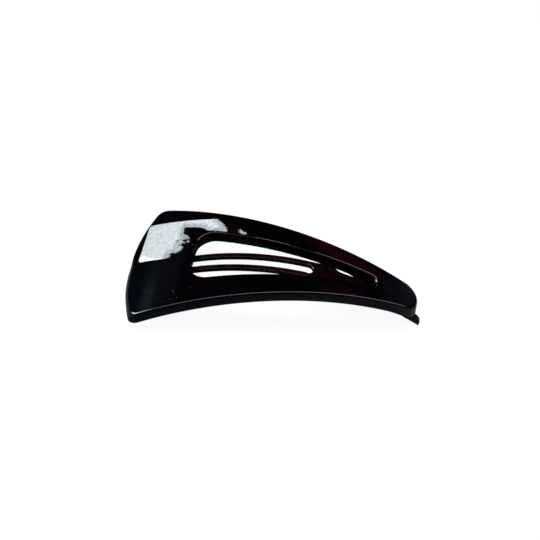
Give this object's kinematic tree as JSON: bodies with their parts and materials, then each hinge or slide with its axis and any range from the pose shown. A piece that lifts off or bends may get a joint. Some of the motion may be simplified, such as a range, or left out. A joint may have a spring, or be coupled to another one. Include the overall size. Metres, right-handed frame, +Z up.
{
  "type": "snap hair clip",
  "caption": "Bowed teardrop hair clip of dark glossy plastic: an open frame, a slotted tongue hinged under its wide end, and the torn remains of a paper price label.",
  "frame": {"origin": "on the table under the middle of the clip's length and width, as it lies by itself on its wide end and the tongue's tab", "axes": "+X from the wide end to the tip, +Y across the clip towards the label's side, +Z up"},
  "size_m": [0.0802, 0.039, 0.0153],
  "materials": {
    "dark_plastic": "polished, near black with dark red patches",
    "red_brown_plastic": "polished, dark red brown",
    "pin_steel": "plain drawn wire",
    "label_paper": "matt torn paper"
  },
  "bodies": {
    "frame": {"frame": "dark_plastic", "pivot_pin": "pin_steel", "label": "label_paper"},
    "tongue": {"tongue": "red_brown_plastic"}
  },
  "joints": [
    {"name": "tongue_hinge", "type": "hinge", "parent": "frame", "child": "tongue", "pos_m": [-0.0303, 0, 0.00271], "axis": [0, 1, 0], "range_deg": [0, 25]}
  ]
}
